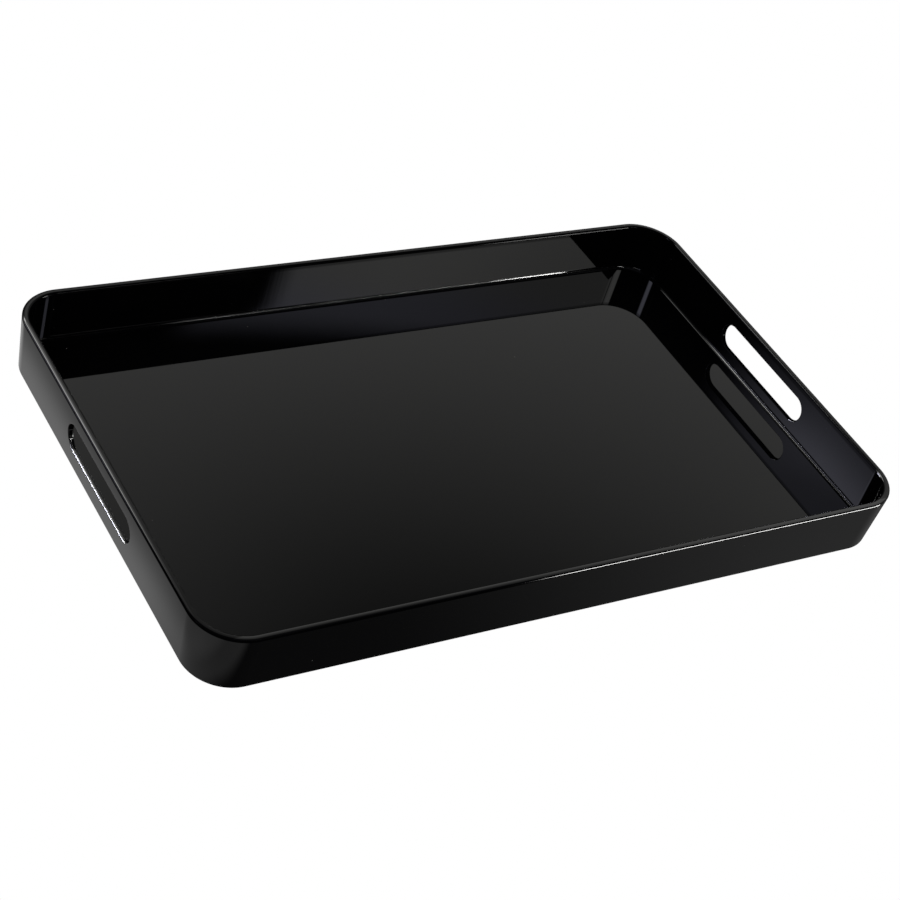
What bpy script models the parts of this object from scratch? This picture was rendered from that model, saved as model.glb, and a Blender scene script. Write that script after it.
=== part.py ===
"""Serving tray with two hand slots, standing on four non-slip feet.

Metres, +Z up, +X along the tray, front side towards -Y. The origin is on the table, under the
tray's centre. The body is one moulding. Each foot sits in a shallow round seat under the floor,
held there by an adhesive disc.
"""

from math import cos, pi, sin

import bmesh
import bpy
from mathutils import Matrix, Vector

# The body's outside; length, width and corner radius are measured at the rim
TRAY_LENGTH = 0.530
TRAY_WIDTH = 0.325
BODY_HEIGHT = 0.0438
CORNER_RADIUS = 0.0325
WALL_LEAN = 0.0028  # how far each wall comes in between the rim and the base

# The serving well
RIM_WIDTH = 0.0050
WELL_LEAN = 0.0003
FLOOR_THICKNESS = 0.0034

# The underside: a band all round the base, and a flat panel a little higher inside it
BAND_WIDTH = 0.0120
BAND_HEIGHT = 0.0015
BAND_LEAN = 0.0005

# Edge radii
RIM_OUTER_RADIUS = 0.0015
RIM_INNER_RADIUS = 0.0015
BASE_RADIUS = 0.0025
BAND_RADIUS = 0.0005
WELL_FILLET = 0.0028
SLOT_EDGE_RADIUS = 0.0008

# The hand slots, one through each end wall
SLOT_LENGTH = 0.1000
SLOT_HEIGHT = 0.0194
SLOT_END_RADIUS = 0.0096
SLOT_RISE = 0.0238  # from the body's lowest face to the middle of a slot

# The feet, their seats in the underside, and the adhesive discs between them
FOOT_DIAMETER = 0.0180
FOOT_CONTACT_DIAMETER = 0.0140
FOOT_HEIGHT = 0.0024
FOOT_SHOULDER = 0.0014  # below this height a foot's side curves in to its contact face
FOOT_INSET = 0.0450  # from the tray's sides to a foot's centre
SEAT_DIAMETER = 0.0200
SEAT_DEPTH = 0.0008
DISC_DIAMETER = 0.0160
DISC_THICKNESS = 0.0005
JOINT_GAP = 0.0003

# How finely round shapes are divided
CORNER_SEGMENTS = 14
EDGE_SEGMENTS = 4
SLOT_END_SEGMENTS = 9
TURNED_SEGMENTS = 40
CURVE_SEGMENTS = 6

# Heights above the table
SEAT_ROOF = FOOT_HEIGHT + DISC_THICKNESS + 2 * JOINT_GAP
PANEL_HEIGHT = SEAT_ROOF - SEAT_DEPTH
BODY_BOTTOM = PANEL_HEIGHT - BAND_HEIGHT
BODY_TOP = BODY_BOTTOM + BODY_HEIGHT
FLOOR_HEIGHT = PANEL_HEIGHT + FLOOR_THICKNESS

UP = Vector((0, 0, 1))
DOWN = Vector((0, 0, -1))
OVERRUN = 0.010  # how far a cutter passes the face it starts from


def clear_scene():
    for item in list(bpy.data.objects):
        bpy.data.objects.remove(item, do_unlink=True)


def make_collection(name):
    collection = bpy.data.collections.new(name)
    bpy.context.scene.collection.children.link(collection)
    return collection


def make_material(name, colour, roughness):
    material = bpy.data.materials.new(name)
    material.use_nodes = True
    shader = material.node_tree.nodes["Principled BSDF"]
    shader.inputs["Base Color"].default_value = (*colour, 1.0)
    shader.inputs["Roughness"].default_value = roughness
    shader.inputs["Metallic"].default_value = 0.0
    return material


def make_mesh(name, shape, material=None):
    """Turns a bmesh into a mesh that is shaded smooth apart from its sharp edges."""
    mesh = bpy.data.meshes.new(name)
    shape.to_mesh(mesh)
    shape.free()
    mesh.shade_smooth()
    mesh.set_sharp_from_angle(angle=pi / 6)
    if material:
        mesh.materials.append(material)
    return mesh


def place(name, mesh, collection, parent=None, spot=(0, 0, 0)):
    item = bpy.data.objects.new(name, mesh)
    collection.objects.link(item)
    item.parent = parent
    item.location = spot
    return item


def place_cutter(name, mesh, collection, spot=(0, 0, 0)):
    cutter = place(name, mesh, collection, spot=spot)
    cutter.hide_render = True
    cutter.display_type = "WIRE"
    return cutter


def cut(item, cutter):
    boolean = item.modifiers.new(cutter.name, "BOOLEAN")
    boolean.operation = "DIFFERENCE"
    boolean.solver = "EXACT"
    boolean.object = cutter


def outward(spot):
    """How far a point lies outside the rectangle of the corners' centres, as a plan vector.

    Every outline of the tray is an even offset from that rectangle, so all share its corners.
    """
    half_length = TRAY_LENGTH / 2 - CORNER_RADIUS
    half_width = TRAY_WIDTH / 2 - CORNER_RADIUS
    return Vector((
        spot.x - max(-half_length, min(half_length, spot.x)),
        spot.y - max(-half_width, min(half_width, spot.y)),
        0.0,
    ))


def draw_in(face, distance):
    """Moves a face's outline in by the same distance all round."""
    for vertex in face.verts:
        vertex.co -= outward(vertex.co).normalized() * distance


def outermost(shape, direction):
    """The flat face that lies farthest along a direction."""
    flat = [face for face in shape.faces if face.normal.dot(direction) > 0.999]
    return max(flat, key=lambda face: face.calc_center_median().dot(direction))


def sink(shape, face, border, depth, lean):
    """Keeps a border of a face, sinks the rest, and returns the two outlines that this makes."""
    into = -face.normal * depth
    bmesh.ops.inset_region(shape, faces=[face], thickness=border, use_even_offset=True)
    mouth = list(face.edges)
    sunk = bmesh.ops.extrude_discrete_faces(shape, faces=[face])["faces"][0]
    bmesh.ops.translate(shape, vec=into, verts=list(sunk.verts))
    draw_in(sunk, lean)
    return mouth, list(sunk.edges)


def round_edges(shape, edges, radius, segments):
    bmesh.ops.bevel(
        shape,
        geom=edges,
        offset=radius,
        segments=segments,
        profile=0.5,
        affect="EDGES",
        clamp_overlap=False,
    )


def tray_shape():
    """The moulding without its slots and seats: a block that is hollowed and then rounded."""
    shape = bmesh.new()
    bmesh.ops.create_cube(shape, size=1.0)
    bmesh.ops.scale(shape, vec=(TRAY_LENGTH, TRAY_WIDTH, BODY_HEIGHT), verts=shape.verts)
    middle = Vector((0, 0, (BODY_BOTTOM + BODY_TOP) / 2))
    bmesh.ops.translate(shape, vec=middle, verts=shape.verts)
    upright = [edge for edge in shape.edges if edge.verts[0].co.z != edge.verts[1].co.z]
    round_edges(shape, upright, CORNER_RADIUS, CORNER_SEGMENTS)

    shape.normal_update()
    top = outermost(shape, UP)
    base = outermost(shape, DOWN)
    draw_in(base, WALL_LEAN)
    rim_outline = list(top.edges)
    base_outline = list(base.edges)
    well_mouth, floor_outline = sink(shape, top, RIM_WIDTH, BODY_TOP - FLOOR_HEIGHT, WELL_LEAN)
    band_edge, panel_outline = sink(shape, base, BAND_WIDTH, BAND_HEIGHT, BAND_LEAN)

    round_edges(shape, rim_outline, RIM_OUTER_RADIUS, EDGE_SEGMENTS)
    round_edges(shape, well_mouth, RIM_INNER_RADIUS, EDGE_SEGMENTS)
    round_edges(shape, floor_outline, WELL_FILLET, CURVE_SEGMENTS)
    round_edges(shape, base_outline, BASE_RADIUS, CURVE_SEGMENTS)
    round_edges(shape, band_edge, BAND_RADIUS, EDGE_SEGMENTS)
    round_edges(shape, panel_outline, BAND_RADIUS, EDGE_SEGMENTS)
    return shape


def slot_shape():
    """One long bar with round ends to its section, which passes through both end walls."""
    shape = bmesh.new()
    bmesh.ops.create_cube(shape, size=1.0)
    reach = TRAY_LENGTH + 2 * OVERRUN
    bmesh.ops.scale(shape, vec=(reach, SLOT_LENGTH, SLOT_HEIGHT), verts=shape.verts)
    lengthwise = [edge for edge in shape.edges if edge.verts[0].co.x != edge.verts[1].co.x]
    round_edges(shape, lengthwise, SLOT_END_RADIUS, SLOT_END_SEGMENTS)
    return shape


def disc_shape(diameter, thickness):
    """A flat disc whose top face is at its origin."""
    shape = bmesh.new()
    bmesh.ops.create_cone(
        shape,
        cap_ends=True,
        segments=TURNED_SEGMENTS,
        radius1=diameter / 2,
        radius2=diameter / 2,
        depth=thickness,
        matrix=Matrix.Translation((0, 0, -thickness / 2)),
    )
    return shape


def foot_profile():
    """Half a foot's section, from the middle of its top, down its side, to its contact face."""
    side = FOOT_DIAMETER / 2
    contact = FOOT_CONTACT_DIAMETER / 2
    outline = [(0.0, FOOT_HEIGHT), (side, FOOT_HEIGHT)]
    for step in range(CURVE_SEGMENTS + 1):
        turn = pi / 2 * step / CURVE_SEGMENTS
        across = contact + (side - contact) * cos(turn)
        outline.append((across, FOOT_SHOULDER * (1 - sin(turn))))
    outline.append((0.0, 0.0))
    shape = bmesh.new()
    corners = [shape.verts.new((across, 0, height)) for across, height in outline]
    for upper, lower in zip(corners, corners[1:]):
        shape.edges.new((upper, lower))
    return shape


def turn_round(item):
    screw = item.modifiers.new("turned", "SCREW")
    screw.axis = "Z"
    screw.angle = 2 * pi
    screw.steps = TURNED_SEGMENTS
    screw.render_steps = TURNED_SEGMENTS
    screw.use_merge_vertices = True
    screw.merge_threshold = 0.00001


def foot_places():
    """Each foot's name ending and its place on the table."""
    along = TRAY_LENGTH / 2 - FOOT_INSET
    across = TRAY_WIDTH / 2 - FOOT_INSET
    for depth_name, y in (("front", -across), ("back", across)):
        for side_name, x in (("left", -along), ("right", along)):
            yield f"{depth_name}_{side_name}", x, y


def build_body(parts, cutters, origin):
    plastic = make_material("gloss_black_plastic", (0.010, 0.010, 0.011), 0.06)
    body = place("tray_body", make_mesh("tray_body", tray_shape(), plastic), parts, origin)
    slot_mesh = make_mesh("hand_slots", slot_shape())
    slots = place_cutter("hand_slots", slot_mesh, cutters, (0, 0, BODY_BOTTOM + SLOT_RISE))
    cut(body, slots)

    softened = body.modifiers.new("slot_edges", "BEVEL")
    softened.width = SLOT_EDGE_RADIUS
    softened.segments = EDGE_SEGMENTS
    softened.limit_method = "ANGLE"
    softened.angle_limit = pi / 3
    softened.use_clamp_overlap = False

    seat_mesh = make_mesh("foot_seat", disc_shape(SEAT_DIAMETER, SEAT_DEPTH + OVERRUN))
    for ending, x, y in foot_places():
        cut(body, place_cutter(f"foot_seat_{ending}", seat_mesh, cutters, (x, y, SEAT_ROOF)))


def build_feet(parts, origin):
    rubber = make_material("dark_grey_rubber", (0.035, 0.035, 0.037), 0.80)
    foam = make_material("adhesive_foam", (0.55, 0.55, 0.52), 0.90)
    foot_mesh = make_mesh("foot", foot_profile(), rubber)
    disc_mesh = make_mesh("adhesive_disc", disc_shape(DISC_DIAMETER, DISC_THICKNESS), foam)
    disc_top = SEAT_ROOF - JOINT_GAP
    for ending, x, y in foot_places():
        turn_round(place(f"foot_{ending}", foot_mesh, parts, origin, (x, y, 0)))
        place(f"adhesive_disc_{ending}", disc_mesh, parts, origin, (x, y, disc_top))


def build_tray():
    clear_scene()
    parts = make_collection("serving_tray")
    cutters = make_collection("cutters")
    origin = place("serving_tray_origin", None, parts)
    build_body(parts, cutters, origin)
    build_feet(parts, origin)


build_tray()
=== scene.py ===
"""Serving tray: the finished look of a glossy black moulded tray with two hand slots.

The CAD model gives the sizes. The body and the feet are rebuilt here with fine radii, and every
piece gets a procedural material. The tray stands on a plain pale floor in soft studio light.
"""

from math import atan2, cos, pi, radians, sin, tan

import bmesh
import bpy
from mathutils import Matrix, Vector


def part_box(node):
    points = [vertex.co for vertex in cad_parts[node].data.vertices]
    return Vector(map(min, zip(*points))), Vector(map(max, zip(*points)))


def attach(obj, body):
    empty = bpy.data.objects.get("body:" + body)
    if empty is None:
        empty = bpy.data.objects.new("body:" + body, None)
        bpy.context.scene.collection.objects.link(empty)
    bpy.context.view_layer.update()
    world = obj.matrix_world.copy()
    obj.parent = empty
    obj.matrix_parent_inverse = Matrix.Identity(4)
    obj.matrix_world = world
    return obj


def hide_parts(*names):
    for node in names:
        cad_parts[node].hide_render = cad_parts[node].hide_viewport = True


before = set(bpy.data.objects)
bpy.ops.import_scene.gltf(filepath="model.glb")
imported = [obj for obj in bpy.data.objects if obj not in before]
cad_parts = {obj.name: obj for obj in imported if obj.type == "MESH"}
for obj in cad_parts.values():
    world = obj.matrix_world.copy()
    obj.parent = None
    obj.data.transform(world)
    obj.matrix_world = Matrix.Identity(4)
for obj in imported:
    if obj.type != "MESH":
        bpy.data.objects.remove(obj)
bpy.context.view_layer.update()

MM = 0.001

# The body's sections, as the CAD model has them; its box and the feet's boxes give the rest
TRAY_LENGTH = 530.0 * MM
TRAY_WIDTH = 325.0 * MM
CORNER_RADIUS = 32.5 * MM
WALL_LEAN = 2.8 * MM
WELL_LEAN = 0.3 * MM
RIM_WIDTH = 5.0 * MM
FLOOR_RISE = 4.9 * MM
BAND_WIDTH = 12.0 * MM
BAND_HEIGHT = 1.5 * MM
BAND_LEAN = 0.5 * MM
RIM_OUTER_RADIUS = 1.5 * MM
RIM_INNER_RADIUS = 1.5 * MM
RIM_FALL_OUT = radians(1.0)
RIM_FALL_IN = radians(3.5)
BASE_RADIUS = 2.5 * MM
BAND_RADIUS = 0.5 * MM
WELL_FILLET = 2.8 * MM
SLOT_LENGTH = 100.0 * MM
SLOT_HEIGHT = 19.4 * MM
SLOT_RISE = 23.8 * MM
SLOT_EDGE_RADIUS = 0.8 * MM
SEAT_RADIUS = 10.0 * MM
SEAT_DEPTH = 0.8 * MM
SEAT_EDGE_RADIUS = 0.2 * MM
FOOT_CONTACT_RADIUS = 7.0 * MM
FOOT_SHOULDER_HEIGHT = 1.4 * MM
FOOT_RIM_RADIUS = 0.25 * MM
GROOVE_PLACES = (0.76, 0.50)
GROOVE_WIDTH = 0.84 * MM
GROOVE_DEPTH = 0.28 * MM
DIMPLE_SHARE = 0.22
DIMPLE_DEPTH = 0.20 * MM

body_low, body_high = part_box("tray_body")
BODY_BOTTOM = body_low.z
BODY_TOP = body_high.z
HALF_LENGTH = TRAY_LENGTH / 2
HALF_WIDTH = TRAY_WIDTH / 2
FLOOR_HEIGHT = BODY_BOTTOM + FLOOR_RISE
PANEL_HEIGHT = BODY_BOTTOM + BAND_HEIGHT
SLOT_MIDDLE = BODY_BOTTOM + SLOT_RISE

# The rectangle of the corners' centres: every outline of the body is an even offset from it
CENTRE_X = HALF_LENGTH - CORNER_RADIUS
CENTRE_Y = HALF_WIDTH - CORNER_RADIUS

# How far the well's walls and the outer walls' feet stand out from that rectangle
WELL_REACH = CORNER_RADIUS - RIM_WIDTH
BASE_REACH = CORNER_RADIUS - WALL_LEAN

# Each slot and each foot seat is cut from a frame of the wall's or the panel's own grid
SLOT_STRAIGHT = (SLOT_LENGTH - SLOT_HEIGHT) / 2
SLOT_FRAME_REACH = 14.0 * MM
SLOT_FAN = [radians(5.0 * step) for step in range(10)]
SEAT_FAN = [radians(7.5 * step) for step in range(-6, 7)]
SEAT_RINGS = (7.0 * MM, 4.0 * MM, 1.5 * MM)
PANEL_MARGIN = 1.2 * MM

# Where rings of points lie between a slot's frame and its edge, and through the wall
FRAME_SHARES = (0.6, 0.25)
THROUGH_SHARES = (0.33, 0.67)

CORNER_STEPS = 32
EDGE_STEPS = 8
FILLET_STEPS = 12

# A length below any of the tray's own
HAIR = 1e-6


# ---------------------------------------------------------------- the body's mesh

def spread(start, end, count):
    return [start + (end - start) * step / count for step in range(count + 1)]


def section_arc(centre, radius, start, end, steps, hollow=False):
    """A round stretch of a section: points that each have a place and an outward direction."""
    facing = -1 if hollow else 1
    stretch = []
    for turn in spread(start, end, steps):
        away = (cos(turn), sin(turn))
        place = (centre[0] + radius * away[0], centre[1] + radius * away[1])
        stretch.append((*place, facing * away[0], facing * away[1]))
    return stretch


def outer_reach(height):
    """How far the outer wall's face lies outside the rectangle of the corners' centres."""
    return CORNER_RADIUS - WALL_LEAN * (BODY_TOP - height) / (BODY_TOP - BODY_BOTTOM)


def inner_reach(height):
    return WELL_REACH - WELL_LEAN * (BODY_TOP - height) / (BODY_TOP - FLOOR_HEIGHT)


WALL_TILT = atan2(WALL_LEAN, BODY_TOP - BODY_BOTTOM)
WELL_TILT = atan2(WELL_LEAN, BODY_TOP - FLOOR_HEIGHT)


def wall_heights():
    """Heights of the walls' rows from the slot frame's foot to its head."""
    rises = [SLOT_FRAME_REACH * tan(turn) for turn in SLOT_FAN]
    return [SLOT_MIDDLE - rise for rise in rises[::-1]] + [SLOT_MIDDLE + rise for rise in rises[1:]]


def rim_arcs():
    """Centre and radius of the rim's three arcs: its outer edge, its low crown and its inner lip.

    The crown falls by a small angle towards each side, and more towards the well.
    """
    outer, inner = RIM_OUTER_RADIUS, RIM_INNER_RADIUS
    crown_radius = 0.0
    for _ in range(4):
        rim_height = BODY_TOP - crown_radius * (1 - cos(RIM_FALL_OUT)) - outer * cos(RIM_FALL_OUT)
        rim_reach = outer_reach(rim_height) - outer / cos(WALL_TILT)
        lip_height = BODY_TOP - crown_radius * (1 - cos(RIM_FALL_IN)) - inner * cos(RIM_FALL_IN)
        lip_reach = inner_reach(lip_height) + inner / cos(WELL_TILT)
        right = rim_reach + outer * sin(RIM_FALL_OUT)
        left = lip_reach - inner * sin(RIM_FALL_IN)
        crown_radius = (right - left) / (sin(RIM_FALL_OUT) + sin(RIM_FALL_IN))
    crown = (right - crown_radius * sin(RIM_FALL_OUT), BODY_TOP - crown_radius)
    rim = (rim_reach, rim_height)
    lip = (lip_reach, lip_height)
    return (rim, outer), (crown, crown_radius), (lip, inner)


def body_section():
    """The section from the underside's panel, out and up the outer wall, to the well's floor.

    Each point is a distance out from the corners' centres, a height and an outward direction. The
    second result gives the rows that hold the foot and the head of the slots' frame, on each wall.
    """
    band_in = BASE_REACH - BAND_WIDTH
    panel_reach = band_in - BAND_LEAN - PANEL_MARGIN
    rows = [(reach, PANEL_HEIGHT, 0, -1) for reach in spread(0, panel_reach, 3)]
    slope = atan2(BAND_HEIGHT, BAND_LEAN)
    run = BAND_RADIUS * tan(slope / 2)
    panel_corner = (band_in - BAND_LEAN - run, PANEL_HEIGHT - BAND_RADIUS)
    rows += section_arc(panel_corner, BAND_RADIUS, pi / 2, pi / 2 - slope, EDGE_STEPS, hollow=True)
    band_corner = (band_in + run, BODY_BOTTOM + BAND_RADIUS)
    rows += section_arc(band_corner, BAND_RADIUS, -pi / 2 - slope, -pi / 2, EDGE_STEPS)
    base_height = BODY_BOTTOM + BASE_RADIUS
    base_reach = outer_reach(base_height) - BASE_RADIUS / cos(WALL_TILT)
    rows.append(((band_corner[0] + base_reach) / 2, BODY_BOTTOM, 0, -1))
    base = (base_reach, base_height)
    rows += section_arc(base, BASE_RADIUS, -pi / 2, -WALL_TILT, EDGE_STEPS + 4)

    outer_foot = len(rows) + 1
    facing = (cos(WALL_TILT), -sin(WALL_TILT))
    lowest = rows[-1][1]
    heights = [lowest + (wall_heights()[0] - lowest) * 0.5] + wall_heights()
    rows += [(outer_reach(height), height, *facing) for height in heights]
    outer_head = len(rows) - 1
    (rim, rim_radius), (crown, crown_radius), (lip, lip_radius) = rim_arcs()
    crown_start = pi / 2 - RIM_FALL_OUT
    crown_end = pi / 2 + RIM_FALL_IN
    rows += section_arc(rim, rim_radius, -WALL_TILT, crown_start, EDGE_STEPS + 4)
    rows += section_arc(crown, crown_radius, crown_start, crown_end, 6)[1:-1]
    rows += section_arc(lip, lip_radius, crown_end, pi - WELL_TILT, EDGE_STEPS + 2)

    frame_heights = wall_heights()[::-1]
    heights = spread(rows[-1][1], frame_heights[0], 5)[1:-1]
    inner_head = len(rows) + len(heights)
    facing = (-cos(WELL_TILT), sin(WELL_TILT))
    rows += [(inner_reach(height), height, *facing) for height in heights + frame_heights]
    inner_foot = len(rows) - 1
    fillet_height = FLOOR_HEIGHT + WELL_FILLET
    fillet_reach = inner_reach(fillet_height) - WELL_FILLET / cos(WELL_TILT)
    fillet = (fillet_reach, fillet_height)
    rows += section_arc(fillet, WELL_FILLET, -WELL_TILT, -pi / 2, FILLET_STEPS, hollow=True)
    rows += [(reach, FLOOR_HEIGHT, 0, 1) for reach in spread(fillet_reach, 0, 4)[1:]]
    return rows, ((outer_foot, outer_head), (inner_foot, inner_head))


def seat_stops(middle):
    reach = CENTRE_X - feet_x
    return [middle + reach * tan(turn) for turn in SEAT_FAN]


def mirrored(stops):
    """Stops on both sides of the middle, from the stops on one side in rising order."""
    return [-stop for stop in stops[::-1] if stop > HAIR] + stops


def end_stops():
    """Places of the columns along an end wall, in step with the slot's frame and the seats."""
    seat = seat_stops(feet_y)
    straight = spread(0.0, SLOT_STRAIGHT, 6)
    round_end = [SLOT_STRAIGHT + SLOT_FRAME_REACH * tan(turn) for turn in SLOT_FAN[1:]]
    between = spread(round_end[-1], seat[0], 6)[1:-1]
    return mirrored(straight + round_end + between + seat)


def side_stops():
    seat = seat_stops(feet_x)
    return mirrored(spread(0.0, seat[0], 20)[:-1] + seat)


foot_low, foot_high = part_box("foot_back_right")
feet_x = (foot_low.x + foot_high.x) / 2
feet_y = (foot_low.y + foot_high.y) / 2


class Skin:
    """A closed surface being built: its points, the direction each one faces, and its faces."""

    def __init__(self):
        self.points = []
        self.facings = []
        self.faces = []

    def point(self, place, facing):
        self.points.append(Vector(place))
        self.facings.append(Vector(facing).normalized())
        return len(self.points) - 1

    def face(self, *corners):
        distinct = [corner for spot, corner in enumerate(corners) if corner != corners[spot - 1]]
        if len(distinct) > 2:
            self.faces.append(distinct)

    def bridge(self, first, second):
        """Joins two closed loops of the same length."""
        for spot in range(len(first)):
            self.face(first[spot - 1], first[spot], second[spot], second[spot - 1])


def columns():
    """Where the body's columns stand, anticlockwise from above, and the way each one faces."""
    ends = end_stops()
    sides = side_stops()
    quarter = spread(0.0, pi / 2, CORNER_STEPS)[1:-1]
    found = []
    for turn, stops in enumerate((ends, sides, ends, sides)):
        facing = turn * pi / 2
        for stop in stops:
            along = Vector((CENTRE_X, stop, 0)) if turn % 2 == 0 else Vector((CENTRE_Y, stop, 0))
            found.append((Matrix.Rotation(facing, 3, "Z") @ along, facing, turn, stop))
        corner = found[-1][0]
        found += [(corner, facing + bend, None, None) for bend in quarter]
    return found


def spot_of(x, y):
    """A place in a sheet, rounded so that it can be looked up."""
    return round(x, 6), round(y, 6)


def sheet(skin, height, facing, cut_seats):
    """The grid inside the corners' centres, at one height. Returns its points by their place."""
    places = {}
    xs = side_stops()
    ys = end_stops()
    for x in xs:
        for y in ys:
            places[spot_of(x, y)] = skin.point((x, y, height), (0, 0, facing))
    reach = CENTRE_X - feet_x
    for left, right in zip(xs, xs[1:]):
        for front, back in zip(ys, ys[1:]):
            middle = ((left + right) / 2, (front + back) / 2)
            in_seat = abs(middle[0]) > feet_x - reach and abs(middle[1]) > feet_y - reach
            if not (cut_seats and in_seat):
                corners = ((left, front), (right, front), (right, back), (left, back))
                skin.face(*(places[spot_of(*corner)] for corner in corners))
    return places


def cut_seat(skin, places, side, depth):
    """A foot's shallow round seat, sunk into the underside's panel."""
    middle = Vector((side * feet_x, depth * feet_y, 0))
    xs = [side * stop for stop in seat_stops(feet_x)][::side]
    ys = [depth * stop for stop in seat_stops(feet_y)][::depth]
    outline = [(x, ys[0]) for x in xs[:-1]] + [(xs[-1], y) for y in ys[:-1]]
    outline += [(x, ys[-1]) for x in xs[:0:-1]] + [(xs[0], y) for y in ys[:0:-1]]
    loop = [places[spot_of(*stop)] for stop in outline]
    away = [(Vector((x, y, 0)) - middle).normalized() for x, y in outline]
    mouth = SEAT_RADIUS + SEAT_EDGE_RADIUS
    rows = [(mouth, 0.0, 0.0, -1.0)]
    for bend in spread(0, pi / 2, 4)[1:]:
        sunk = SEAT_EDGE_RADIUS * (1 - cos(bend))
        rows.append((mouth - SEAT_EDGE_RADIUS * sin(bend), sunk, -sin(bend), -cos(bend)))
    for bend in spread(0, pi / 2, 4):
        sunk = SEAT_DEPTH - SEAT_EDGE_RADIUS * (1 - sin(bend))
        inset = SEAT_EDGE_RADIUS * (1 - cos(bend))
        rows.append((SEAT_RADIUS - inset, sunk, -cos(bend), -sin(bend)))
    rows += [(reach, SEAT_DEPTH, 0.0, -1.0) for reach in SEAT_RINGS]
    for reach, sunk, across, up in rows:
        height = Vector((0, 0, PANEL_HEIGHT + sunk))
        ring = [
            skin.point(middle + out * reach + height, out * across + Vector((0, 0, up)))
            for out in away
        ]
        skin.bridge(loop, ring)
        loop = ring
    hub = skin.point(middle + height, (0, 0, -1))
    for spot in range(len(loop)):
        skin.face(loop[spot - 1], loop[spot], hub)


def slot_outline(grid, wall_columns, foot, head):
    """The closed loop of a wall's points round a slot's frame."""
    step = 1 if head > foot else -1
    rows = list(range(foot, head, step))
    loop = [grid[foot][column] for column in wall_columns[:-1]]
    loop += [grid[row][wall_columns[-1]] for row in rows]
    loop += [grid[head][column] for column in wall_columns[:0:-1]]
    loop += [grid[row][wall_columns[0]] for row in range(head, foot, -step)]
    return loop


def cut_slot(skin, grid, wall_columns, rows, side):
    """A hand slot through one end wall, with its rounded edges."""
    (outer_foot, outer_head), (inner_foot, inner_head) = rows
    outer_loop = slot_outline(grid, wall_columns, outer_foot, outer_head)
    inner_loop = slot_outline(grid, wall_columns, inner_foot, inner_head)
    spokes = []
    for corner in outer_loop:
        place = skin.points[corner]
        hub = Vector((0, max(-SLOT_STRAIGHT, min(SLOT_STRAIGHT, place.y)), SLOT_MIDDLE))
        offset = Vector((0, place.y, place.z)) - hub
        spokes.append((hub, offset.normalized(), offset.length))

    half = SLOT_HEIGHT / 2
    widest = half + SLOT_EDGE_RADIUS
    out = Vector((side, 0, 0))
    outer_face = (outer_reach, Vector((side * cos(WALL_TILT), 0, -sin(WALL_TILT))), 1)
    inner_face = (inner_reach, Vector((-side * cos(WELL_TILT), 0, sin(WELL_TILT))), -1)

    def ring(face, bend=0.0, share=0.0):
        """Points round the slot: on its edge's rounding, or a share of the way to the frame."""
        reach_at, facing, way = face
        loop = []
        for hub, spoke, length in spokes:
            reach = half + SLOT_EDGE_RADIUS * (1 - sin(bend)) + (length - widest) * share
            spot = hub + spoke * reach
            across = CENTRE_X + reach_at(spot.z) - way * SLOT_EDGE_RADIUS * (1 - cos(bend))
            loop.append(skin.point(out * across + spot, facing * cos(bend) - spoke * sin(bend)))
        return loop

    bends = spread(0, pi / 2, EDGE_STEPS)
    outer_rings = [ring(outer_face, share=share) for share in FRAME_SHARES]
    outer_rings += [ring(outer_face, bend) for bend in bends]
    inner_rings = [ring(inner_face, bend) for bend in bends[::-1]]
    inner_rings += [ring(inner_face, share=share) for share in FRAME_SHARES[::-1]]
    through_rings = []
    for share in THROUGH_SHARES:
        through_rings.append([
            skin.point(skin.points[start].lerp(skin.points[end], share), skin.facings[start])
            for start, end in zip(outer_rings[-1], inner_rings[0])
        ])
    loops = [outer_loop, *outer_rings, *through_rings, *inner_rings, inner_loop]
    for before, after in zip(loops, loops[1:]):
        skin.bridge(before, after)


def build_skin():
    skin = Skin()
    rows, slot_rows = body_section()
    stands = columns()
    below = sheet(skin, PANEL_HEIGHT, -1, cut_seats=True)
    above = sheet(skin, FLOOR_HEIGHT, 1, cut_seats=False)
    grid = []
    for spot, (reach, height, across, up) in enumerate(rows):
        if spot in (0, len(rows) - 1):
            places = below if spot == 0 else above
            grid.append([places[spot_of(stand[0].x, stand[0].y)] for stand in stands])
            continue
        ring = []
        for start, facing, *_ in stands:
            away = Vector((cos(facing), sin(facing), 0))
            place = start + away * reach + Vector((0, 0, height))
            ring.append(skin.point(place, away * across + Vector((0, 0, up))))
        grid.append(ring)

    frame_end = SLOT_STRAIGHT + SLOT_FRAME_REACH + HAIR
    in_frame = [
        column for column, stand in enumerate(stands)
        if stand[2] in (0, 2) and abs(stand[3]) < frame_end
    ]
    by_end = {turn: [c for c in in_frame if stands[c][2] == turn] for turn in (0, 2)}
    hidden = {column for found in by_end.values() for column in found[1:]}
    for row in range(1, len(rows)):
        cut = any(min(pair) < row <= max(pair) for pair in slot_rows)
        for column in range(len(stands)):
            if not (cut and column in hidden):
                skin.face(
                    grid[row - 1][column - 1],
                    grid[row - 1][column],
                    grid[row][column],
                    grid[row][column - 1],
                )
    cut_slot(skin, grid, by_end[0], slot_rows, 1)
    cut_slot(skin, grid, by_end[2], slot_rows, -1)
    for side in (1, -1):
        for depth in (1, -1):
            cut_seat(skin, below, side, depth)
    return skin


def skin_mesh(name, skin):
    """Turns a skin into a mesh that is shaded by the directions its points face."""
    used = sorted({corner for face in skin.faces for corner in face})
    renumbered = {corner: spot for spot, corner in enumerate(used)}
    faces = [[renumbered[corner] for corner in face] for face in skin.faces]
    mesh = bpy.data.meshes.new(name)
    mesh.from_pydata([skin.points[corner] for corner in used], [], faces)
    shape = bmesh.new()
    shape.from_mesh(mesh)
    bmesh.ops.recalc_face_normals(shape, faces=shape.faces)
    shape.to_mesh(mesh)
    shape.free()
    mesh.shade_smooth()
    mesh.normals_split_custom_set_from_vertices([skin.facings[corner] for corner in used])
    return mesh


# ---------------------------------------------------------------- the feet's mesh

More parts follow.
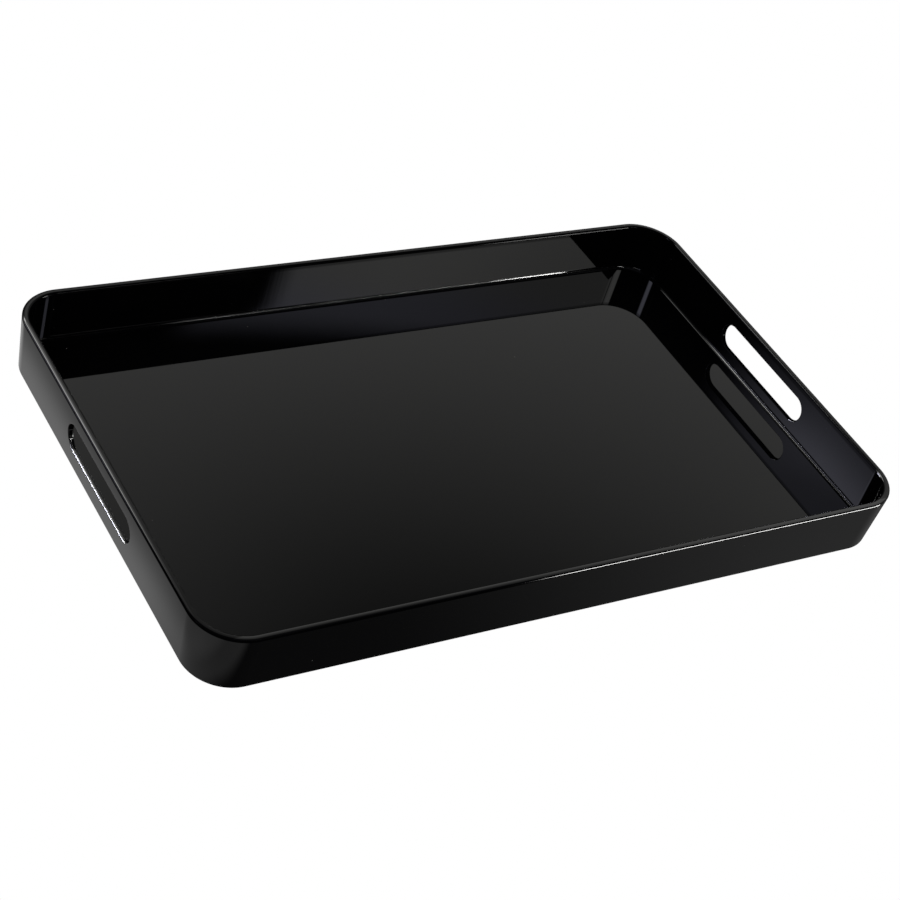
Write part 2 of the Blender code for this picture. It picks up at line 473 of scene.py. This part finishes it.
def foot_section(top, side):
    """Half of a foot's section, from the middle of its top out and round to that of its dimple."""
    section = [(0.0, top), (side * 0.5, top), (side - FOOT_RIM_RADIUS, top)]
    for bend in spread(pi / 2, 0, 5)[1:]:
        across = side + FOOT_RIM_RADIUS * (cos(bend) - 1)
        section.append((across, top + FOOT_RIM_RADIUS * (sin(bend) - 1)))
    for bend in spread(0, pi / 2, 14)[1:]:
        across = FOOT_CONTACT_RADIUS + (side - FOOT_CONTACT_RADIUS) * cos(bend)
        section.append((across, FOOT_SHOULDER_HEIGHT * (1 - sin(bend))))
    for groove in GROOVE_PLACES:
        for share in spread(0, 1, 10):
            across = FOOT_CONTACT_RADIUS * groove + GROOVE_WIDTH * (0.5 - share)
            section.append((across, GROOVE_DEPTH / 2 * (1 - cos(2 * pi * share))))
    for share in spread(1, 0, 6):
        across = FOOT_CONTACT_RADIUS * DIMPLE_SHARE * share
        section.append((across, DIMPLE_DEPTH / 2 * (1 + cos(pi * share))))
    return section


def foot_mesh(name, middle, top, side):
    """A turned rubber foot: domed shoulder, two grip grooves and a dimple in its contact face."""
    shape = bmesh.new()
    line = [shape.verts.new((across, 0, height)) for across, height in foot_section(top, side)]
    for upper, lower in zip(line, line[1:]):
        shape.edges.new((upper, lower))
    bmesh.ops.spin(
        shape,
        geom=list(shape.verts) + list(shape.edges),
        cent=(0, 0, 0),
        axis=(0, 0, 1),
        angle=2 * pi,
        steps=72,
    )
    bmesh.ops.remove_doubles(shape, verts=shape.verts, dist=2 * HAIR)
    bmesh.ops.recalc_face_normals(shape, faces=shape.faces)
    bmesh.ops.translate(shape, vec=middle, verts=shape.verts)
    mesh = bpy.data.meshes.new(name)
    shape.to_mesh(mesh)
    shape.free()
    mesh.shade_smooth()
    mesh.set_sharp_from_angle(angle=radians(40))
    return mesh


# ---------------------------------------------------------------- node graphs

class Graph:
    """Short ways to lay out a material's or the world's nodes."""

    def __init__(self, tree):
        tree.nodes.clear()
        self.tree = tree

    def add(self, kind, settings=None, **inputs):
        node = self.tree.nodes.new(kind)
        for key, value in (settings or {}).items():
            setattr(node, key, value)
        for key, value in inputs.items():
            self.feed(node, key.replace("_", " "), value)
        return node

    def feed(self, node, key, value):
        socket = node.inputs[key]
        if isinstance(value, bpy.types.NodeSocket):
            self.tree.links.new(value, socket)
        else:
            socket.default_value = value

    def maths(self, operation, *values):
        node = self.add("ShaderNodeMath", {"operation": operation})
        for spot, value in enumerate(values):
            self.feed(node, spot, value)
        return node.outputs[0]

    def total(self, *values):
        summed = values[0]
        for value in values[1:]:
            summed = self.maths("ADD", summed, value)
        return summed

    def product(self, *values):
        made = values[0]
        for value in values[1:]:
            made = self.maths("MULTIPLY", made, value)
        return made

    def less(self, value, taken):
        return self.maths("SUBTRACT", value, taken)

    def rest(self, share):
        """What a share leaves of the whole."""
        return self.less(1.0, share)

    def size(self, value):
        return self.maths("ABSOLUTE", value)

    def line(self, value, slope, start):
        return self.maths("MULTIPLY_ADD", value, slope, start)

    def ramp(self, value, low, high, to_low=0.0, to_high=1.0):
        node = self.add("ShaderNodeMapRange", {"interpolation_type": "SMOOTHSTEP"})
        self.feed(node, "Value", value)
        self.feed(node, "From Min", low)
        self.feed(node, "From Max", high)
        self.feed(node, "To Min", to_low)
        self.feed(node, "To Max", to_high)
        return node.outputs["Result"]

    def fade(self, value, low, high):
        """One up to the low value, and nothing from the high one on."""
        return self.ramp(value, low, high, 1.0, 0.0)

    def noise(self, vector, scale, detail=2.0, roughness=0.5, seed=0.0):
        node = self.add("ShaderNodeTexNoise", {"noise_dimensions": "4D"})
        self.feed(node, "Vector", vector)
        self.feed(node, "W", seed)
        self.feed(node, "Scale", scale)
        self.feed(node, "Detail", detail)
        self.feed(node, "Roughness", roughness)
        return node.outputs["Fac"]

    def cells(self, vector, scale):
        """Scattered cells: how far each point is from its cell's middle, and the cell's chance."""
        node = self.add("ShaderNodeTexVoronoi", {"feature": "F1"}, Vector=vector, Scale=scale)
        return node.outputs["Distance"], self.parts(node.outputs["Color"])[0]

    def stretched(self, vector, scale, rotation=(0, 0, 0)):
        node = self.add("ShaderNodeMapping", {"vector_type": "POINT"})
        self.feed(node, "Vector", vector)
        self.feed(node, "Rotation", rotation)
        self.feed(node, "Scale", scale)
        return node.outputs["Vector"]

    def parts(self, vector):
        node = self.add("ShaderNodeSeparateXYZ")
        self.feed(node, "Vector", vector)
        return node.outputs[0], node.outputs[1], node.outputs[2]

    def bump(self, height, distance, strength=1.0, normal=None):
        node = self.add("ShaderNodeBump")
        self.feed(node, "Height", height)
        self.feed(node, "Distance", distance)
        self.feed(node, "Strength", strength)
        if normal is not None:
            self.feed(node, "Normal", normal)
        return node.outputs["Normal"]

    def blend(self, share, first, second):
        node = self.add("ShaderNodeMix", {"data_type": "RGBA"})
        self.feed(node, 0, share)
        self.feed(node, 6, first)
        self.feed(node, 7, second)
        return node.outputs[2]

    def surface(self, colour, roughness, mirroring, normal):
        """Ends a material in one shader with these four inputs."""
        shader = self.add("ShaderNodeBsdfPrincipled", Roughness=roughness, Normal=normal, IOR=1.5)
        self.feed(shader, "Base Color", colour)
        self.feed(shader, "Specular IOR Level", mirroring)
        output = self.add("ShaderNodeOutputMaterial")
        self.feed(output, "Surface", shader.outputs[0])

    def for_mirrors(self, kind, plain, mirrored, output_kind):
        """Ends the tree in one light as the camera sees it, and another as glossy faces mirror it."""
        seen = self.add("ShaderNodeLightPath").outputs["Is Glossy Ray"]
        chosen = self.add("ShaderNodeMixShader")
        self.feed(chosen, 0, seen)
        self.feed(chosen, 1, self.add(kind, **plain).outputs[0])
        self.feed(chosen, 2, self.add(kind, **mirrored).outputs[0])
        self.feed(self.add(output_kind), "Surface", chosen.outputs[0])


def new_material(name):
    material = bpy.data.materials.new(name)
    material.use_nodes = True
    return material, Graph(material.node_tree)


# ---------------------------------------------------------------- the gloss plastic

# The plastic's mirror strength (its Specular IOR Level) where nothing changes it, on a level face
# through the camera's polarising filter, on the front rim, where the extra is a painted sheen, and
# for light that has already met another face. The shares are what is left of it under the painted
# shade at the walls' heads and on the darkest edges.
MIRROR_PLAIN = 0.50
MIRROR_LEVEL = 0.23
MIRROR_FRONT_RIM = 0.65
MIRROR_SECOND = 0.23
WALL_HEAD_SHARE = 0.45
DARK_SHARE = 0.01

POLISHED_ROUGHNESS = 0.022
PLASTIC_BLACK = (0.0006, 0.0006, 0.0007, 1.0)
DUST_GREY = (0.20, 0.19, 0.18, 1.0)


class BodyPlace:
    """Where a point lies on the tray's body, and which way the body faces there."""

    def __init__(self, graph):
        self.vector = graph.add("ShaderNodeTexCoord").outputs["Object"]
        self.x, self.y, self.z = graph.parts(self.vector)
        facing = graph.add("ShaderNodeNewGeometry").outputs["Normal"]
        self.facing_x, self.facing_y, self.facing_z = graph.parts(facing)
        self.level = graph.ramp(graph.size(self.facing_z), 0.55, 0.9)
        self.upright = graph.rest(self.level)

        # How far out from the rectangle of the corners' centres
        past_x = graph.maths("MAXIMUM", graph.less(graph.size(self.x), CENTRE_X), 0.0)
        past_y = graph.maths("MAXIMUM", graph.less(graph.size(self.y), CENTRE_Y), 0.0)
        squares = graph.total(graph.product(past_x, past_x), graph.product(past_y, past_y))
        self.reach = graph.maths("SQRT", squares)
        self.in_well = graph.product(
            graph.fade(self.reach, WELL_REACH + 1.0 * MM, WELL_REACH + 1.6 * MM),
            graph.ramp(self.z, FLOOR_HEIGHT - 1.0 * MM, FLOOR_HEIGHT - 0.5 * MM),
        )


def well_fillet(graph, at):
    """The rounding between the well's walls and its floor."""
    return graph.product(
        at.in_well,
        graph.ramp(at.z, FLOOR_HEIGHT + 0.05 * MM, FLOOR_HEIGHT + 0.25 * MM),
        graph.fade(at.z, FLOOR_HEIGHT + 2.0 * MM, FLOOR_HEIGHT + 3.0 * MM),
    )


def painted_shade_fillet(graph, at):
    """Painted shade on the fillet's stretches towards the far-left corner and along the right wall's
    far part.
    """
    leftward = graph.product(
        graph.fade(at.x, -165.0 * MM, -100.0 * MM),
        graph.ramp(at.y, 0.0, 50.0 * MM),
    )
    rightward = graph.product(
        graph.ramp(at.x, CENTRE_X + 18.0 * MM, CENTRE_X + 22.0 * MM),
        graph.ramp(at.y, 20.0 * MM, 75.0 * MM, 0.0, 0.97),
    )
    return graph.product(well_fillet(graph, at), graph.total(leftward, rightward))


def painted_shade_rims(graph, at):
    """Painted shade on the rim's outer rounding towards the left, and on its lip along the back wall.
    """
    outer_edge = graph.product(
        graph.ramp(at.reach, CORNER_RADIUS - 0.75 * MM, CORNER_RADIUS - 0.5 * MM),
        graph.ramp(at.z, BODY_TOP - 2.2 * MM, BODY_TOP - 1.6 * MM),
        graph.fade(at.x, -90.0 * MM, 10.0 * MM),
    )
    left_edge = graph.product(
        graph.fade(at.x, -HALF_LENGTH + 1.2 * MM, -HALF_LENGTH + 1.6 * MM),
        graph.ramp(at.z, BODY_TOP - 1.2 * MM, BODY_TOP - 0.9 * MM),
        graph.ramp(at.y, -150.0 * MM, 50.0 * MM, 0.92, 0.0),
    )
    back_lip = graph.product(
        graph.fade(at.reach, WELL_REACH + 1.4 * MM, WELL_REACH + 2.0 * MM),
        graph.ramp(at.z, BODY_TOP - 2.0 * MM, BODY_TOP - 1.4 * MM),
        graph.ramp(at.y, 0.0, 100.0 * MM, 0.0, 0.65),
    )
    return graph.total(outer_edge, left_edge, back_lip)


def painted_shade_slots(graph, at):
    """Painted shade on the faces inside both slots, apart from those of the left slot that face up.
    """
    edge = SLOT_HEIGHT / 2 + 0.7 * MM

    # Of the slots' faces, only the left slot's upward ones bring this sum past 2.2
    left_and_up = graph.line(at.x, -8.0, at.facing_z)
    return graph.product(
        graph.ramp(graph.size(at.x), HALF_LENGTH - 9.0 * MM, HALF_LENGTH - 8.0 * MM),
        graph.fade(graph.size(at.y), SLOT_LENGTH / 2 + 1.0 * MM, SLOT_LENGTH / 2 + 2.0 * MM),
        graph.ramp(at.z, SLOT_MIDDLE - edge - 0.8 * MM, SLOT_MIDDLE - edge),
        graph.fade(at.z, SLOT_MIDDLE + edge, SLOT_MIDDLE + edge + 0.8 * MM),
        graph.fade(graph.size(at.facing_x), 0.75, 0.95),
        graph.fade(left_and_up, 2.0, 2.2),
    )


def painted_shade_corners(graph, at):
    """Painted shade in three of the well's corners, apart from the strips of light that the photo
    shows in them.
    """
    strip = graph.product(
        graph.ramp(at.facing_x, 0.20, 0.23),
        graph.fade(at.facing_x, 0.33, 0.37),
    )
    far_left = graph.product(
        graph.fade(at.x, -CENTRE_X - 1.0 * MM, -CENTRE_X),
        graph.ramp(at.y, CENTRE_Y, CENTRE_Y + 1.0 * MM),
        graph.rest(strip),
    )
    near_right = graph.product(
        graph.ramp(at.x, CENTRE_X, CENTRE_X + 1.0 * MM),
        graph.fade(at.y, -CENTRE_Y - 8.0 * MM, -CENTRE_Y - 6.0 * MM),
    )
    far_right = graph.product(
        graph.ramp(at.x, CENTRE_X, CENTRE_X + 1.0 * MM),
        graph.ramp(at.y, CENTRE_Y, CENTRE_Y + 1.0 * MM),
        graph.ramp(at.facing_y, -0.21, -0.18),
    )
    corners = graph.total(far_left, near_right, far_right)
    return graph.product(at.in_well, at.upright, corners)


def painted_highlight_left_rim(graph, at):
    """A painted highlight: a line along the left rim, brighter towards the back."""
    return graph.product(
        graph.ramp(at.x, -HALF_LENGTH + 1.2 * MM, -HALF_LENGTH + 1.5 * MM),
        graph.fade(at.x, -HALF_LENGTH + 1.8 * MM, -HALF_LENGTH + 2.6 * MM),
        graph.ramp(at.y, -150.0 * MM, 60.0 * MM, 0.1, 0.75),
        graph.ramp(at.z, BODY_TOP - 0.8 * MM, BODY_TOP - 0.4 * MM),
    )


def painted_highlight_slot_lip(graph, at):
    """A painted highlight on the outer half of the left slot's lower face, with its rounded edge."""
    return graph.product(
        graph.fade(at.x, -HALF_LENGTH + 3.2 * MM, -HALF_LENGTH + 3.6 * MM),
        graph.fade(graph.size(at.y), SLOT_LENGTH / 2, SLOT_LENGTH / 2 + 1.0 * MM),
        graph.ramp(graph.less(SLOT_MIDDLE, at.z), 6.0 * MM, 7.0 * MM),
        graph.ramp(at.facing_z, 0.05, 0.2),
    )


def mirror_strength(graph, at):
    """How strongly the plastic mirrors, as a camera with a polarising filter shows it.

    Light that meets one plastic face after another loses half its strength to polarisation, and
    the filter takes out about half of what a level face mirrors straight to the camera, but less
    on the front rim, where the extra is a painted sheen. The real lights stand close to the tray, so
    some edges are painted dark or bright for their place alone: painted shade and painted highlights.
    """
    # A painted sheen: the front rim's top loses less of its mirror strength than other level faces
    front_rim = graph.product(
        graph.fade(at.y, -HALF_WIDTH + 5.0 * MM, -HALF_WIDTH + 5.6 * MM),
        graph.ramp(at.z, BODY_TOP - 1.2 * MM, BODY_TOP - 0.5 * MM),
    )
    lost = graph.ramp(
        front_rim, 0.0, 1.0, MIRROR_PLAIN - MIRROR_LEVEL, MIRROR_PLAIN - MIRROR_FRONT_RIM
    )
    # Painted highlights: the fillets, a line along the left rim and the left slot's lip mirror more
    # strongly
    raised = graph.total(
        graph.product(well_fillet(graph, at), 0.30),
        graph.product(painted_highlight_left_rim(graph, at), 1.2),
        graph.product(painted_highlight_slot_lip(graph, at), 1.5),
    )
    direct = graph.total(graph.less(MIRROR_PLAIN, graph.product(at.level, lost)), raised)
    seen = graph.add("ShaderNodeLightPath").outputs["Is Camera Ray"]
    strength = graph.total(
        graph.product(seen, direct),
        graph.product(graph.rest(seen), MIRROR_SECOND),
    )
    # Painted shade: the top few millimetres of the inner walls mirror more dimly
    head = graph.product(
        at.in_well,
        at.upright,
        graph.ramp(at.z, BODY_TOP - 5.0 * MM, BODY_TOP - 2.5 * MM),
    )
    # Painted shade on some stretches of the fillets, rims, slots and corners
    dark = graph.total(
        painted_shade_fillet(graph, at),
        painted_shade_rims(graph, at),
        painted_shade_slots(graph, at),
        painted_shade_corners(graph, at),
    )
    return graph.product(
        strength,
        graph.ramp(head, 0.0, 1.0, 1.0, WALL_HEAD_SHARE),
        graph.ramp(dark, 0.0, 1.0, 1.0, DARK_SHARE),
    )


def moulding_waves(graph, at):
    """The skin's height: soft waves everywhere, and narrow upright flow lines on the walls."""
    swell = graph.noise(at.vector, 9.0, 1.0, seed=3.0)
    peel = graph.noise(at.vector, 95.0, 1.0, seed=1.0)
    flow = graph.noise(graph.stretched(at.vector, (330.0, 330.0, 14.0)), 1.0, 2.0, 0.55, seed=5.0)
    wide_flow = graph.noise(graph.stretched(at.vector, (60.0, 60.0, 5.0)), 1.0, 1.0, seed=8.0)
    return graph.total(
        graph.product(swell, 0.010),
        graph.product(peel, 0.0009),
        graph.product(at.upright, flow, 0.0018),
        graph.product(at.upright, wide_flow, 0.0040),
    )


def hairlines(graph, at):
    """Patches of fine scratches on the serving floor, in three directions."""
    lines = []
    for turn, seed in ((0.35, 11.0), (1.25, 17.0), (2.30, 23.0)):
        streaks = graph.stretched(at.vector, (9.0, 900.0, 9.0), (0, 0, turn))
        line = graph.noise(streaks, 1.0, 1.0, seed=seed)
        patch = graph.ramp(graph.noise(at.vector, 14.0, 1.0, seed=seed + 1.0), 0.52, 0.66)
        lines.append(graph.product(graph.ramp(line, 0.70, 0.76), patch))
    return graph.product(graph.total(*lines), at.level)


def gloss_plastic():
    """Polished black moulded plastic, a little used, and matt on its underside."""
    material, graph = new_material("gloss_black_plastic")
    at = BodyPlace(graph)

    # Settled dust and smears: a little rougher in soft patches, and a few pale specks
    smear = graph.ramp(graph.noise(at.vector, 26.0, 3.0, 0.6, seed=31.0), 0.50, 0.78)
    apart, chance = graph.cells(at.vector, 120.0)
    speck = graph.product(graph.fade(apart, 0.035, 0.060), graph.ramp(chance, 0.975, 0.98))
    colour = graph.blend(graph.product(speck, 0.35), PLASTIC_BLACK, DUST_GREY)

    # The underside is matt, with a fine grain
    base = graph.product(
        graph.fade(at.z, PANEL_HEIGHT - 0.2 * MM, PANEL_HEIGHT + 1.2 * MM),
        graph.fade(at.facing_z, -0.9, -0.5),
    )
    grain = graph.product(base, graph.noise(at.vector, 1500.0, 2.0, seed=41.0))
    moulded = graph.bump(moulding_waves(graph, at), 0.001)

    roughness = graph.total(
        POLISHED_ROUGHNESS,
        graph.product(smear, 0.018),
        graph.product(hairlines(graph, at), 0.10),
        graph.product(base, 0.30),
        graph.product(well_fillet(graph, at), 0.10),
        graph.product(painted_highlight_slot_lip(graph, at), 0.30),
        graph.product(speck, 0.5),
    )
    normal = graph.bump(grain, 0.00002, 1.0, moulded)
    graph.surface(colour, roughness, mirror_strength(graph, at), normal)
    return material


# ---------------------------------------------------------------- the other materials

def foot_rubber():
    """Dark grey rubber with a fine matt grain, scuffed paler where it touches the table."""
    material, graph = new_material("dark_grey_rubber")
    place = graph.add("ShaderNodeTexCoord").outputs["Object"]
    height = graph.parts(place)[2]
    grain = graph.noise(place, 2600.0, 3.0, 0.6, seed=2.0)
    cloud = graph.noise(place, 240.0, 3.0, 0.6, seed=4.0)
    scuff = graph.product(graph.fade(height, 0.0, 0.25 * MM), graph.ramp(cloud, 0.42, 0.62))
    tone = graph.blend(cloud, (0.026, 0.026, 0.028, 1.0), (0.046, 0.046, 0.048, 1.0))
    colour = graph.blend(graph.product(scuff, 0.6), tone, (0.15, 0.145, 0.14, 1.0))
    roughness = graph.ramp(cloud, 0.2, 0.8, 0.70, 0.88)
    graph.surface(colour, roughness, 0.35, graph.bump(grain, 0.00006, 0.8))
    return material


def adhesive_foam():
    """Off-white foam tape, with open cells in its edge whose hollows are painted darker as shade."""
    material, graph = new_material("adhesive_foam")
    place = graph.add("ShaderNodeTexCoord").outputs["Object"]
    cloud = graph.noise(place, 500.0, 3.0, 0.6, seed=6.0)
    tone = graph.blend(cloud, (0.46, 0.45, 0.41, 1.0), (0.62, 0.61, 0.57, 1.0))
    pits = graph.ramp(graph.cells(place, 4200.0)[0], 0.05, 0.45)
    # Painted shade: the cells' hollows are darker
    colour = graph.blend(graph.rest(pits), tone, (0.30, 0.29, 0.26, 1.0))
    graph.surface(colour, 0.9, 0.2, graph.bump(pits, 0.00008, 0.9))
    return material


# ---------------------------------------------------------------- light, floor and camera

WHITE = (1.0, 1.0, 1.0, 1.0)
WARM_WHITE = (1.0, 1.0, 0.98, 1.0)
COOL_WHITE = (0.93, 0.94, 1.15, 1.0)

# The least light that the tray mirrors from the studio, and from the floor
STUDIO_DARK = 0.004
FLOOR_DARK = 0.018


class Sky:
    """The directions that the tray mirrors: compass angle and height above the horizon."""

    def __init__(self, graph):
        x, y, z = graph.parts(graph.add("ShaderNodeTexCoord").outputs["Generated"])
        self.graph = graph
        self.across = graph.maths("DEGREES", graph.maths("ARCTAN2", y, x))
        self.up = graph.maths("DEGREES", graph.maths("ARCSINE", z))

        # How far the softboxes' slanting sides lean at this height
        over = graph.less(self.up, 35.5)
        self.lean = graph.maths("MAXIMUM", graph.product(over, 0.8), graph.product(over, 0.2))

    def window(self, sides, heights, soft, strength):
        """A soft-edged rectangle of light."""
        graph = self.graph
        (left, right), (low, high), (side_soft, end_soft) = sides, heights, soft
        return graph.product(
            graph.ramp(self.across, left - side_soft, left + side_soft),
            graph.fade(self.across, right - side_soft, right + side_soft),
            graph.ramp(self.up, low - end_soft, low + end_soft),
            graph.fade(self.up, high - end_soft, high + end_soft),
            strength,
        )


def ceiling_light(graph, sky):
    """A glow that dims towards a spot high up and has a slanting foot, a haze and a dim zenith."""
    aside = graph.product(graph.less(sky.across, 45.0), 0.707)
    above = graph.less(sky.up, 48.0)
    squares = graph.total(graph.product(aside, aside), graph.product(above, above))
    low_side = graph.line(sky.across, 0.38, 12.3)
    glow = graph.product(
        graph.ramp(graph.maths("SQRT", squares), 0.0, 17.0, 0.02, 0.85),
        graph.ramp(graph.less(sky.up, low_side), -1.3, 1.3),
        graph.fade(sky.up, 48.0, 58.0),
        graph.ramp(sky.across, 36.0, 62.0, 0.75, 1.0),
        graph.ramp(sky.across, -15.0, 20.0),
        graph.fade(sky.across, 105.0, 130.0),
    )
    haze = sky.window(sides=(0.0, 95.0), heights=(8.0, 40.0), soft=(8.0, 4.0), strength=0.12)
    zenith = graph.ramp(sky.up, 42.0, 55.0, 0.0, 0.03)
    return graph.total(glow, haze, zenith)


def right_softbox(graph, sky):
    """A tall softbox on the camera's right, brighter towards the camera, and a strip above it."""
    top_side = graph.line(sky.across, -0.19, 26.9)
    box = graph.product(
        graph.ramp(graph.total(sky.across, sky.lean), -57.2, -56.2),
        graph.fade(sky.across, -33.0, -29.0),
        graph.ramp(sky.up, 0.0, 6.0),
        graph.fade(graph.less(sky.up, top_side), -0.5, 0.5),
        graph.ramp(sky.across, -54.0, -46.0, 12.0, 7.0),
    )
    strip = sky.window(sides=(-40.5, -30.0), heights=(35.4, 39.0), soft=(2.0, 0.5), strength=8.0)
    return graph.total(box, strip)


def left_softbox(graph, sky):
    """A softbox on the far left, dimmer at its head and below a slanting line."""
    low_edge = graph.line(sky.across, 0.37, -19.05)
    return graph.product(
        graph.ramp(graph.line(sky.lean, 2.0, sky.across), 137.2, 143.1),
        graph.ramp(sky.up, 35.0, 36.8, 1.0, 0.5),
        graph.ramp(graph.less(sky.up, low_edge), -0.6, 0.9, 0.42, 1.0),
        sky.window(sides=(130.0, 149.0), heights=(22.0, 38.5), soft=(1.0, 1.0), strength=16.5),
    )


def edge_lights(graph, sky):
    """Small bright lights: the softboxes' feet, one behind the tray and two slits."""
    right_slit = graph.ramp(sky.across, -70.0, -58.0, 25.0, 14.0)
    return graph.total(
        sky.window(sides=(-57.0, -28.0), heights=(1.0, 9.0), soft=(0.6, 1.0), strength=62.0),
        sky.window(sides=(86.0, 124.0), heights=(37.5, 54.0), soft=(3.0, 1.5), strength=12.0),
        sky.window(sides=(118.0, 140.0), heights=(1.0, 14.0), soft=(2.0, 1.0), strength=80.0),
        sky.window(sides=(-80.5, -58.8), heights=(32.4, 34.7), soft=(1.6, 0.4), strength=right_slit),
        sky.window(sides=(164.0, 177.5), heights=(32.4, 34.7), soft=(3.0, 0.4), strength=32.0),
    )


def studio_world():
    """A dark studio with softboxes, as the tray mirrors it; the backdrop itself is plain white.

    The two softboxes show only where the tray mirrors itself mirroring them. Where it mirrors
    them directly, a weak fill stands for each.
    """
    world = bpy.data.worlds.new("studio")
    world.use_nodes = True
    graph = Graph(world.node_tree)
    sky = Sky(graph)
    bounces = graph.add("ShaderNodeLightPath").outputs["Glossy Depth"]
    inside = graph.ramp(bounces, 1.2, 1.8)
    softboxes = graph.total(right_softbox(graph, sky), left_softbox(graph, sky))
    fills = graph.total(
        sky.window(sides=(-75.0, -15.0), heights=(8.0, 26.0), soft=(22.0, 8.0), strength=0.35),
        sky.window(sides=(105.0, 165.0), heights=(16.0, 34.0), soft=(22.0, 8.0), strength=0.9),
    )
    strength = graph.total(
        STUDIO_DARK,
        ceiling_light(graph, sky),
        edge_lights(graph, sky),
        graph.product(fills, graph.rest(inside)),
        graph.product(softboxes, inside),
    )
    cool = graph.total(
        graph.product(graph.fade(sky.across, -15.0, 0.0), graph.ramp(sky.up, 33.8, 36.0)),
        graph.ramp(sky.across, 125.0, 132.0),
    )
    tint = graph.blend(cool, WARM_WHITE, COOL_WHITE)
    graph.for_mirrors(
        "ShaderNodeBackground",
        {"Color": WHITE, "Strength": 1.0},
        {"Color": tint, "Strength": strength},
        "ShaderNodeOutputWorld",
    )
    bpy.context.scene.world = world


def painted_floor_light_and_shade(graph):
    """Painted light and shade on the floor as the tray's walls mirror it: dim, lighter to the left,
    and a painted shadow of the tray darkest close along the front.
    """
    x, y = graph.parts(graph.add("ShaderNodeNewGeometry").outputs["Position"])[:2]
    base_x = CENTRE_X + BASE_REACH
    base_y = CENTRE_Y + BASE_REACH
    out_left = graph.less(-base_x, x)
    out_front = graph.less(-base_y, y)
    past_corner = graph.product(graph.maths("MAXIMUM", out_front, 0.0), 0.5)
    beside = graph.ramp(graph.total(out_left, past_corner), -18.0 * MM, 0.0)
    # Painted light: the floor beside the left wall mirrors brighter
    left = graph.product(
        graph.ramp(out_left, 3.0 * MM, 22.0 * MM, 0.62, 0.26),
        graph.ramp(out_left, 22.0 * MM, 50.0 * MM, 1.0, 0.60),
        beside,
        graph.ramp(y, -base_y - 20.0 * MM, -base_y + 110.0 * MM, 0.3, 1.0),
    )
    corner = graph.product(
        graph.ramp(out_front, -60.0 * MM, -10.0 * MM),
        graph.ramp(out_left, 5.0 * MM, 22.0 * MM),
        beside,
        0.22,
    )
    # Painted shadow: the floor close along the front mirrors darkest
    front = graph.product(
        graph.ramp(x, -160.0 * MM, 240.0 * MM, 0.008, 0.155),
        graph.ramp(out_front, -30.0 * MM, 5.0 * MM),
    )
    return graph.total(FLOOR_DARK, left, corner, front)


def pale_floor():
    """A plain white floor, just under the feet; only its image in the tray carries painted light and
    shade.
    """
    reach = 8.0
    corners = [(-reach, -reach, 0), (reach, -reach, 0), (reach, reach, 0), (-reach, reach, 0)]
    mesh = bpy.data.meshes.new("studio_floor")
    mesh.from_pydata(corners, [], [(0, 1, 2, 3)])
    floor = bpy.data.objects.new("studio_floor", mesh)
    bpy.context.scene.collection.objects.link(floor)
    floor.location.z = -0.2 * MM
    material, graph = new_material("studio_floor")
    graph.for_mirrors(
        "ShaderNodeEmission",
        {"Color": WHITE, "Strength": 1.0},
        {"Color": WHITE, "Strength": painted_floor_light_and_shade(graph)},
        "ShaderNodeOutputMaterial",
    )
    mesh.materials.append(material)


CAMERA_PLACE = (-0.730651, -0.837988, 0.887053)
CAMERA_TURN = -0.7147844
CAMERA_HEIGHT = 0.6743582
CAMERA_ROLL = 0.3243538
LENS = 83.588
SENSOR_WIDTH = 36.0


def photograph_camera():
    """A camera at the viewing angle of the photograph, given as compass turn, height and roll."""
    flat = cos(CAMERA_HEIGHT)
    back = Vector((sin(CAMERA_TURN) * flat, -cos(CAMERA_TURN) * flat, sin(CAMERA_HEIGHT)))
    level = Vector((cos(CAMERA_TURN), sin(CAMERA_TURN), 0))
    upward = back.cross(level)
    right = level * cos(CAMERA_ROLL) + upward * sin(CAMERA_ROLL)
    above = upward * cos(CAMERA_ROLL) - level * sin(CAMERA_ROLL)
    data = bpy.data.cameras.new("camera")
    data.lens = LENS
    data.sensor_width = SENSOR_WIDTH
    data.clip_start = 0.05
    data.clip_end = 60.0
    camera = bpy.data.objects.new("camera", data)
    bpy.context.scene.collection.objects.link(camera)
    axes = Matrix((right, above, back)).transposed().to_4x4()
    camera.matrix_world = Matrix.Translation(CAMERA_PLACE) @ axes
    bpy.context.scene.camera = camera


# ---------------------------------------------------------------- the pieces

def detailed(node):
    return node + "_detailed"


def place_piece(node, mesh, material):
    mesh.materials.append(material)
    piece = bpy.data.objects.new(detailed(node), mesh)
    bpy.context.scene.collection.objects.link(piece)
    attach(piece, "root")
    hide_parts(node)


def build_pieces():
    body = skin_mesh(detailed("tray_body"), build_skin())
    place_piece("tray_body", body, gloss_plastic())
    rubber = foot_rubber()
    foam = adhesive_foam()
    for depth in ("front", "back"):
        for side in ("left", "right"):
            node = f"foot_{depth}_{side}"
            low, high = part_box(node)
            middle = Vector(((low.x + high.x) / 2, (low.y + high.y) / 2, 0))
            foot = foot_mesh(detailed(node), middle, high.z, (high.x - low.x) / 2)
            place_piece(node, foot, rubber)
            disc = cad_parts[f"adhesive_disc_{depth}_{side}"]
            disc.material_slots[0].link = "OBJECT"
            disc.material_slots[0].material = foam


build_pieces()
studio_world()
pale_floor()
photograph_camera()
bpy.context.scene.view_settings.view_transform = "Standard"
